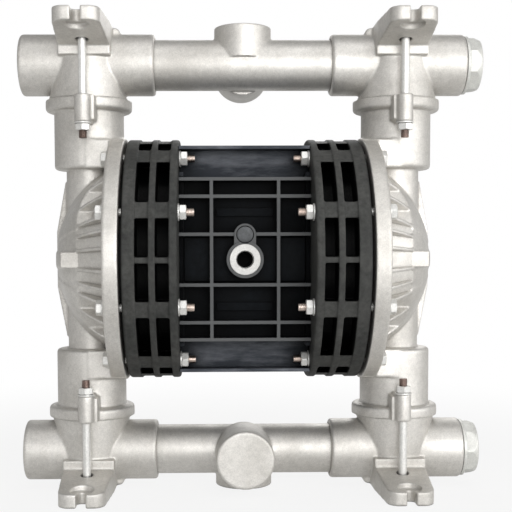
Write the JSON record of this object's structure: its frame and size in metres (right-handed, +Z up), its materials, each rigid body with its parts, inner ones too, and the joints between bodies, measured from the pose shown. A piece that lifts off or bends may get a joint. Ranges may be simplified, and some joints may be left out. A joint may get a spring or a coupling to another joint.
{
  "type": "air operated diaphragm pump",
  "caption": "Air operated double diaphragm pump with ribbed metal covers, ball valve manifolds, foot brackets and a black air section.",
  "frame": {"origin": "under the middle of the shaft, on the flat lower boss face of the suction pipe, level with the feet's soles", "axes": "+X along the shaft towards the plugged ports, -Y towards the air inlet, +Z up"},
  "size_m": [0.4545, 0.24, 0.458],
  "materials": {
    "cast_aluminium": "matte",
    "plug_metal": "matte",
    "ring_plastic": "matte",
    "block_plastic": "satin",
    "zinc_steel": "satin",
    "nickel_plate": "gloss",
    "black_rubber": "matte",
    "diaphragm_rubber": "matte",
    "ball_polymer": "satin",
    "plate_metal": "satin",
    "shaft_steel": "polished",
    "bush_plastic": "matte"
  },
  "bodies": {
    "root": {"discharge_tee_right": "cast_aluminium", "discharge_tee_left": "cast_aluminium", "suction_tee_right": "cast_aluminium", "suction_tee_left": "cast_aluminium", "discharge_pipe": "cast_aluminium", "suction_pipe": "cast_aluminium", "pipe_seals": "black_rubber", "discharge_port_plug": "plug_metal", "suction_port_plug": "plug_metal", "outlet_seat_left": "ball_polymer", "inlet_seat_left": "ball_polymer", "outlet_seat_right": "ball_polymer", "inlet_seat_right": "ball_polymer", "seat_seals": "black_rubber", "pump_cover_right": "cast_aluminium", "pump_cover_left": "cast_aluminium", "air_chamber_right": "ring_plastic", "air_chamber_left": "ring_plastic", "diaphragm_right": "diaphragm_rubber", "diaphragm_left": "diaphragm_rubber", "shaft_bushes": "bush_plastic", "shaft_seals": "black_rubber", "centre_block": "block_plastic", "air_inlet_insert": "nickel_plate", "pilot_port_plug": "block_plastic", "valve_gasket": "black_rubber", "air_valve_body": "block_plastic", "valve_body_screws": "zinc_steel", "valve_end_caps": "block_plastic", "valve_cap_screws": "zinc_steel", "valve_sleeve": "plate_metal", "exhaust_muffler": "ring_plastic", "cover_bolts_right": "zinc_steel", "cover_washers_right": "zinc_steel", "cover_nuts_right": "zinc_steel", "cover_bolts_left": "zinc_steel", "cover_washers_left": "zinc_steel", "cover_nuts_left": "zinc_steel", "tie_bolts": "zinc_steel", "tie_bolt_nuts": "zinc_steel", "tie_bolt_washers": "zinc_steel"},
    "shaft": {"diaphragm_shaft": "shaft_steel", "inner_plate_right": "plate_metal", "inner_plate_left": "plate_metal", "outer_plate_right": "plate_metal", "outer_plate_left": "plate_metal", "shaft_bolts": "zinc_steel"},
    "spool": {"valve_spool": "plate_metal", "spool_seals": "black_rubber"},
    "outlet_ball_left": {"outlet_ball_left": "ball_polymer"},
    "outlet_ball_right": {"outlet_ball_right": "ball_polymer"},
    "inlet_ball_left": {"inlet_ball_left": "ball_polymer"},
    "inlet_ball_right": {"inlet_ball_right": "ball_polymer"}
  },
  "joints": [
    {"name": "shaft_slide", "type": "slide", "parent": "root", "child": "shaft", "axis": [1, 0, 0], "range_m": [-0.012, 0.012], "deforming": ["diaphragm_right", "diaphragm_left"]},
    {"name": "spool_slide", "type": "slide", "parent": "root", "child": "spool", "axis": [1, 0, 0], "range_m": [-0.0075, 0.0075]},
    {"name": "outlet_ball_left_lift", "type": "slide", "parent": "root", "child": "outlet_ball_left", "axis": [0, 0, 1], "range_m": [0, 0.008]},
    {"name": "outlet_ball_right_lift", "type": "slide", "parent": "root", "child": "outlet_ball_right", "axis": [0, 0, 1], "range_m": [0, 0.008]},
    {"name": "inlet_ball_left_lift", "type": "slide", "parent": "root", "child": "inlet_ball_left", "axis": [0, 0, 1], "range_m": [0, 0.008]},
    {"name": "inlet_ball_right_lift", "type": "slide", "parent": "root", "child": "inlet_ball_right", "axis": [0, 0, 1], "range_m": [0, 0.008]}
  ]
}
